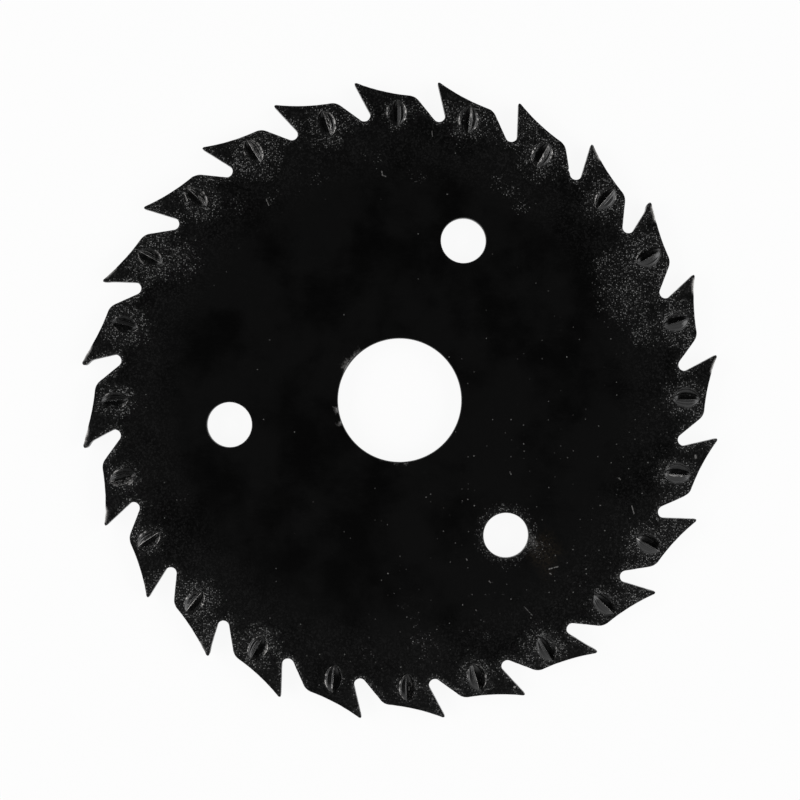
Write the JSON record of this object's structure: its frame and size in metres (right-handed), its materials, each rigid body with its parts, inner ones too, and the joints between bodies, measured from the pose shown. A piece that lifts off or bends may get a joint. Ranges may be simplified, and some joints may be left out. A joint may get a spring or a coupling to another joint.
{
  "type": "rasp disc",
  "caption": "Flat black steel disc for an angle grinder, with hooked saw teeth round its rim, a lanced rasp tooth behind each, an arbor bore and a ring of small round holes.",
  "frame": {"origin": "on the bore's axis, on the plane that the disc lies on, which touches the undersides of its sunk pockets", "axes": "+Z along the bore's axis, out of the working face; seen from +Z the teeth point anticlockwise; +Y is the top of the picture"},
  "size_m": [0.1142, 0.1142, 0.0033],
  "materials": {
    "blackened_steel": "satin"
  },
  "bodies": {
    "root": {"rasp_disc": "blackened_steel"}
  },
  "joints": []
}
